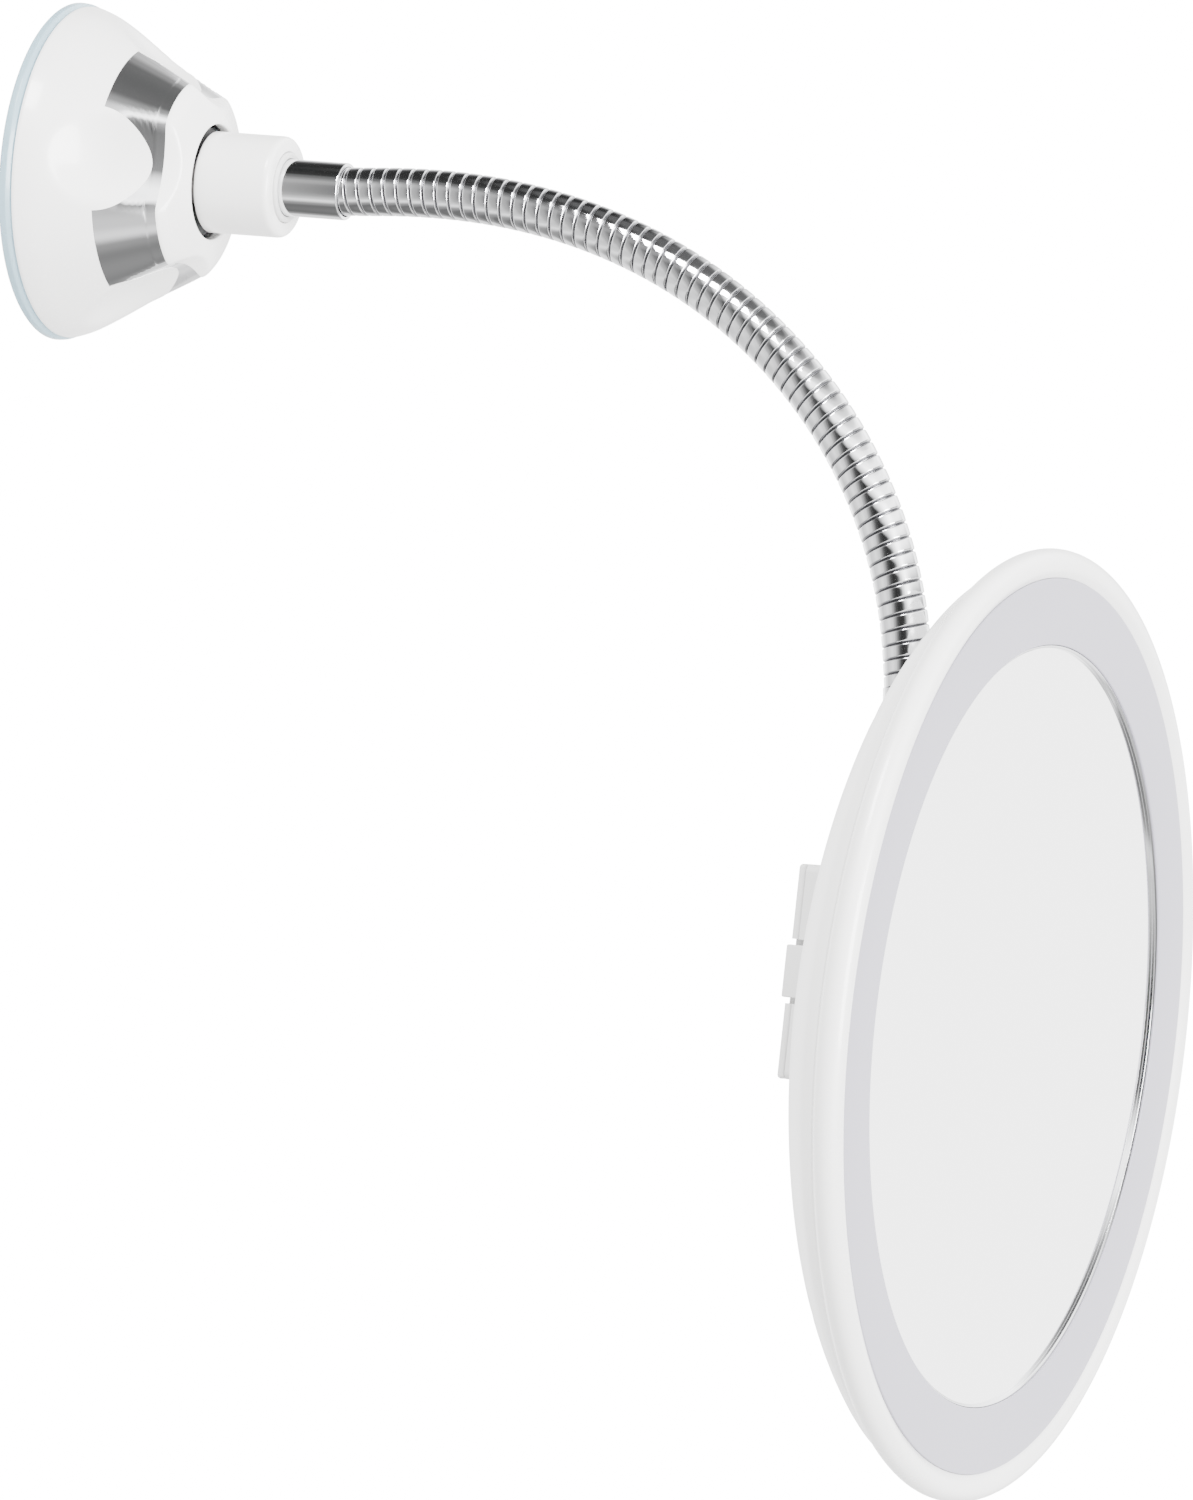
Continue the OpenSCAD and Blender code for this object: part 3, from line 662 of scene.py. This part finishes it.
neck_chrome = neck_finish()
middles = [(Vector(a) + Vector(b)) / 2 for a, b in zip(joints, joints[1:])]
cuts = [0.0] + [lengths[nearest(m)] for m in middles] + [total]
for j in range(LINKS + 1):
    pick(thread)
    bpy.ops.object.duplicate()
    piece = bpy.context.object
    piece.name = f"neck_tube_{j + 1:02d}"
    cut(piece, cuts[j], True)
    cut(piece, cuts[j + 1], False)
    # painted shade mask per vertex: 1 deep in the grooves and on the cut ends, 0 on the rib crowns
    groove = piece.data.attributes.new("groove", "FLOAT", "POINT")
    for v in piece.data.vertices:
        x, y, s = v.co.x / MM, v.co.y / MM, v.co.z / MM
        r = sqrt(x * x + y * y)
        groove.data[v.index].value = min(1.0, max(0.0, (RIB_R - r) / 0.5)) if r > 3 else 1.0
        here, way = along(s)
        side = Vector((-way.y, way.x))
        flat = here + side * y
        v.co = Vector((x, -flat.x, flat.y)) * MM
    tidy(piece, 60)
    at_joint = lengths[nearest(Vector(joints[j]))]
    near, far = along(at_joint - BLEND_REACH)[0], along(at_joint + BLEND_REACH)[0]
    piece.data.materials.clear()
    piece.data.materials.append(neck_chrome)
    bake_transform(piece)
    if j < LINKS:
        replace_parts(piece, f"neck_link_{j + 1:02d}")
bpy.data.objects.remove(thread)

# %% Ferrule at the head's end
end_cap = spun("head_ferrule_skin", [(0, 8.6), (4.7, 8.6, 0.3), (4.85, 9.3), (4.85, 13.3, 0.3),
                                     (4.65, 13.3), (4.6, 11), (0, 11)], 72, STEM, closed=False)
use(end_cap, "neck_end", "chrome", chrome, "head_ferrule")

# %% [markdown]
# ## The mirror head
# The front frame is a fat rounded rim. Inside it lies the light ring's diffuser, and a little
# lower the glass. All three are turned shapes. The diffuser is milky, so it takes a faint lavender
# tint. The glass has a ground bevel, and a thin bright edge shows between it and the diffuser.

# %% Front frame
rim = [(83.7, -5.3), (83.7, -0.35)]
rim += [(86.2 + 2.8 * cos(radians(a)), -2 + 2.8 * sin(radians(a))) for a in range(134, -73, -9)]
rim += [(86.3, -5.3)]
bezel = spun("frame_skin", rim, 192, HEAD, smooth=40)
use(bezel, "head", "white", white_gloss, "front_bezel")

# %% Light ring
diffuser_mat, diffuser_shader, diffuser_xyz = finish(
    "diffuser", Coat_Weight=0.15, Coat_Roughness=0.2)
milk, frost = noise(diffuser_xyz, 18.0, 2.0), noise(diffuser_xyz, 1100.0, 2.0)
feed(diffuser_shader, Base_Color=milk.mix((0.35, 0.34, 0.395, 1), (0.342, 0.332, 0.387, 1)),
     Roughness=(0.34 + milk * 0.08), Normal=bump(frost, 0.06, 0.00005))
diffuser = spun("light_ring", [(71.2, -1.15), (71.2, 0, 0.3), (83.62, 0, 0.25), (83.62, -1.15)],
                192, HEAD)
use(diffuser, "head", "diffuser", diffuser_mat, "diffuser_ring")

# %% Mirror glass
mirror_mat, mirror_shader, mirror_xyz = finish("mirror", Metallic=1.0)
haze = noise(mirror_xyz, 9.0, 2.0)
feed(mirror_shader, Base_Color=haze.mix((0.97, 0.97, 0.97, 1), (0.965, 0.965, 0.965, 1)),
     Roughness=(0.012 + haze * 0.006))
glass = spun("glass_skin", [(0, -4.2), (73, -4.2), (73, -1.75), (70.5, -1.2), (0, -1.2)], 192,
             HEAD, closed=False, smooth=10)
use(glass, "head", "mirror", mirror_mat, "mirror_glass")
edge = spun("glass_edge", [(70.6, -1.4), (70.6, -0.62, 0.1), (71.1, -0.3, 0.1), (71.1, -1.4)], 192,
            HEAD)
use(edge, "head", "chrome", ring_chrome)

# %% [markdown]
# The rear shell is one smooth shallow dome. Its opening for the battery case and its four screw
# recesses are cut with Booleans. The foot of the ball socket is a second turned shape. It is cut
# off level with the ball's centre, where the socket's cap begins.

# %% Rear shell
SCREW_CIRCLE_R = 77.0
DOME = [(86.0, -5.45), (85.4, -6.6), (83.6, -8.8), (78.5, -12.5), (72, -15.8), (64, -18.8),
        (52, -21.8), (38, -23.8), (20, -25.0), (0, -25.4)]
outer = [(p.x, p.y) for p in catmull(DOME, 4)]
inner = [(max(r - (2.0 if r > 60 else 2.0 * r / 60), 0.0), h + 1.9) for r, h in outer]
shell = spun("rear_skin", outer + inner[::-1][:-1] + [(84.1, -5.45)], 192, HEAD, smooth=40)
carve(shell, rounded_block("cutter", (-26.95, -13.95, -40), (26.95, 25.95, -10), 1.4))
screws = []
for degrees in (45, 135, 225, 315):
    spot = (HEAD @ Matrix.Rotation(radians(degrees), 4, "Z")
            @ Matrix.Translation((SCREW_CIRCLE_R * MM, 0, 0)))
    carve(shell, spun("recess", [(0, -20), (2.4, -20), (2.4, -11.35), (0, -11.35)], 36, spot,
                      closed=False))
    outline = [(0, -11.9), (0.9, -11.9, 0.1), (1.1, -12.05, 0.1), (1.7, -12, 0.3),
               (2.1, -11.7, 0.1), (2.1, -11.4), (1.2, -11.4), (1.2, -5.5), (0, -5.5)]
    screws.append(spun("screws", outline, 36, spot, closed=False))
tidy(shell, 40)
use(shell, "head", "white", white_shell, "rear_shell")
use(join(screws), "head", "steel", plain_steel, "shell_screws")

# %% Foot of the ball socket
foot = spun("socket_foot", [(0, -27.3), (8.4, -27.3), (8.4, -21.5), (9.6, -20.2), (0, -20.2)], 72,
            HEAD @ Matrix.Translation(Vector((0, SOCKET_UP, 0)) * MM), closed=False)
pick(foot)
bpy.ops.object.mode_set(mode="EDIT")
bpy.ops.mesh.select_all(action="SELECT")
bpy.ops.mesh.bisect(plane_co=ball, plane_no=STEM.col[2].xyz, use_fill=True, clear_outer=True)
bpy.ops.object.mode_set(mode="OBJECT")
print("foot is", [round(v / MM, 1) for v in foot.dimensions], "mm")
bowl = [(8.4 * cos(radians(a)), 8.4 * sin(radians(a))) for a in range(-90, 1, 9)]
cup = spun("bowl", bowl + [(6.4, 0)] + [(6.4 * cos(radians(a)), 6.4 * sin(radians(a)))
                                        for a in range(-9, -91, -9)], 72, STEM, closed=False)
ears = []
for x in (-10.0, 10.0):
    ears.append(spun("ear", [(0, -5, 0), (2.8, -5, 0.6), (2.8, 0), (0, 0)], 36,
                     STEM @ Matrix.Translation(Vector((x, 0, 0)) * MM), closed=False))
use(join([foot, cup] + ears), "head", "white", white_shell)

# %% [markdown]
# The battery case stands out of the dome. Its door is a thin slab with a spring latch in a notch
# at one side. The slab and the latch are bevelled blocks, and the notch is a Boolean cut.

# %% Battery door and latch
door = rounded_block("door_skin", (-27, -14, -36), (27, 26, -34.5), 0.7)
carve(door, rounded_block("notch", (-30, 0.0, -42), (-24.3, 12.0, -20), 0.1))
tidy(door, 35)
use(door, "door", "grey", door_grey, "battery_door")
latch = rounded_block("latch_skin", (-27.4, 1.1, -36.6), (-25.6, 10.9, -30.1), 0.35)
use(latch, "latch", "grey", door_grey, "door_latch")

# %% Power button
BUTTON_DOWN = 45.0
button = spun("button_skin", [(0, -23.35), (3.2, -23.3), (5, -23.0, 0.5), (5, -20), (2, -19.9),
                              (2, -18.6), (0, -18.6)], 72,
              HEAD @ Matrix.Translation(Vector((0, -BUTTON_DOWN, 0)) * MM), closed=False)
use(button, "button", "grey", door_grey, "power_button")

# %% [markdown]
# The small hidden parts keep their CAD shapes. Each still gets a finish of its own kind, because
# they show when the door is open or the lock shell is turned.

# %% Finishes of the CAD parts
KEPT = {
    clear_pad: ["pad_centre"],
    plain_steel: ["pull_stud", "lift_peg", "head_ball", "socket_screws", "contact_plates",
                  "contact_springs"],
    inner_white: ["pressure_plate", "seat_cup", "cam_ring", "hub_ball", "chassis_plate"],
    dark_nylon: ["seat_ring", "ball_bush", "head_bush", "switch_block"],
    white_shell: ["socket_cap"],
    door_grey: ["battery_case"],
    foam: ["glass_pad"],
    board: ["led_board"],
    chip: ["led_chips"],
    wire: ["lead_wires"],
    cell_wrap: ["battery_cells"],
}
for material, names in KEPT.items():
    for name in names:
        nodes[name].data.materials.clear()
        nodes[name].data.materials.append(material)
hidden = {n for o in bpy.data.objects for n in o.get("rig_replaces", [])}
print("no finish:", sorted(set(nodes) - hidden - {n for v in KEPT.values() for n in v}))

# %% [markdown]
# ## Floor, surround and light
# The part hangs in the air as if on a wall, over a pale floor. The surround is a plain bright
# white to look at and to light by. Polished metal sees it in soft bands, as it would see the
# panels, walls and dark corners of a studio. The bands are fixed in the room. The floor is kept
# out of the reflections, because it would hide the lower bands.

# %% Studio
floor_mat, floor_shader, floor_xyz = finish("floor", Roughness=0.9)
pale = noise(floor_xyz, 3.0)
feed(floor_shader, Base_Color=pale.mix((0.86, 0.86, 0.86, 1), (0.84, 0.84, 0.84, 1)))
bpy.ops.mesh.primitive_plane_add(size=2.4, location=(0, 0, -1.6))
floor = bpy.context.object
floor.name = "floor"
floor.visible_glossy = False
floor.data.materials.append(floor_mat)

centre = (0, -0.11, -0.08)
world = bpy.data.worlds.new("surround")
world.use_nodes = True
tree = world.node_tree
sky = tree.nodes["Background"]
sky.inputs["Color"].default_value = (1, 1, 1, 1)
ray = tree.nodes.new("ShaderNodeLightPath")
seen, glossy = Sock(tree, ray.outputs["Is Camera Ray"]), Sock(tree, ray.outputs["Is Glossy Ray"])
aim = Sock(tree, tree.nodes.new("ShaderNodeTexCoord").outputs["Generated"])


def toward(direction):
    """How far a ray points this way, from -1 to 1."""
    return aim.node("ShaderNodeVectorMath", {"operation": "DOT_PRODUCT"},
                    {0: aim, 1: tuple(direction)}, 1)


up_ray = toward((0, 0, 1))
side_ray = toward(level).maths("ARCTAN2", toward(level), toward(back))


def band(value, *stops):
    """A smooth grey curve through (position, brightness) stops."""
    ramp = value.node("ShaderNodeValToRGB", {"stops": [(p, (v, v, v, 1)) for p, v in stops]},
                      {"Fac": value})
    ramp_node = ramp.socket.node
    ramp_node.color_ramp.interpolation = "EASE"
    return ramp


# height bands, from straight down to straight up
rows = band(up_ray * 0.5 + 0.5, (0.0, 0.02), (0.05, 0.014), (0.09, 0.03), (0.165, 0.135),
            (0.22, 0.085), (0.3, 0.052), (0.4, 0.043), (0.5, 0.033), (0.6, 0.047), (0.68, 0.054),
            (0.74, 0.045), (0.79, 0.024), (0.86, 0.014), (0.91, 0.0035), (0.96, 0.0025),
            (1.0, 0.01))
# bands round the room, with the camera in the middle
turns = band(side_ray * (0.5 / pi) + 0.5, (0.0, 0.22), (0.09, 0.35), (0.15, 0.17), (0.205, 0.1),
             (0.245, 0.113), (0.29, 0.137), (0.34, 0.1), (0.37, 0.045), (0.395, 0.018),
             (0.415, 0.007), (0.45, 0.003), (0.49, 0.004), (0.515, 0.02), (0.545, 0.12),
             (0.58, 0.33), (0.605, 0.47), (0.63, 0.32), (0.66, 0.13), (0.69, 0.04),
             (0.72, 0.0145), (0.75, 0.022), (0.79, 0.058), (0.84, 0.075), (0.858, 0.31),
             (0.895, 0.31), (0.93, 0.2), (1.0, 0.22))
# the same heights on the side away from the wall, which is brighter
room = band(up_ray * 0.5 + 0.5, (0.0, 0.03), (0.03, 0.02), (0.06, 0.03), (0.1, 0.12),
            (0.15, 0.085), (0.3, 0.06), (0.5, 0.09), (0.6, 0.2), (0.7, 0.42), (0.76, 0.46), (0.82, 0.3),
            (0.89, 0.13), (0.94, 0.034), (0.965, 0.013), (1.0, 0.01))
room_share = (toward((0, -1, 0)) * 4.0 + 0.45).clamp()
level_share = (up_ray.maths("ABSOLUTE", up_ray, 0.0) * 2.5 - 0.65).clamp()
pattern = level_share.mix(turns, room_share.mix(rows, room))
panelled = glossy.mix((0.17, 0.17, 0.17, 1), pattern)
strength = seen.mix(panelled, (1.1, 1.1, 1.1, 1))
tree.links.new((strength * 15.0).socket, sky.inputs["Strength"])
bpy.context.scene.world = world


def panel(name, spot, target, size, watts):
    light = bpy.data.lights.new(name, "AREA")
    light.shape = "RECTANGLE"
    light.size, light.size_y = size
    light.energy = watts
    obj = bpy.data.objects.new(name, light)
    bpy.context.scene.collection.objects.link(obj)
    aim = Vector(target) - Vector(spot)
    obj.matrix_world = Matrix.Translation(spot) @ aim.to_track_quat("-Z", "Y").to_matrix().to_4x4()
    return obj


panel("key", (-1.3, -0.2, 1.5), centre, (0.7, 0.7), 75)
panel("front", (-0.6, -2.1, 0.1), centre, (1.0, 1.0), 120)
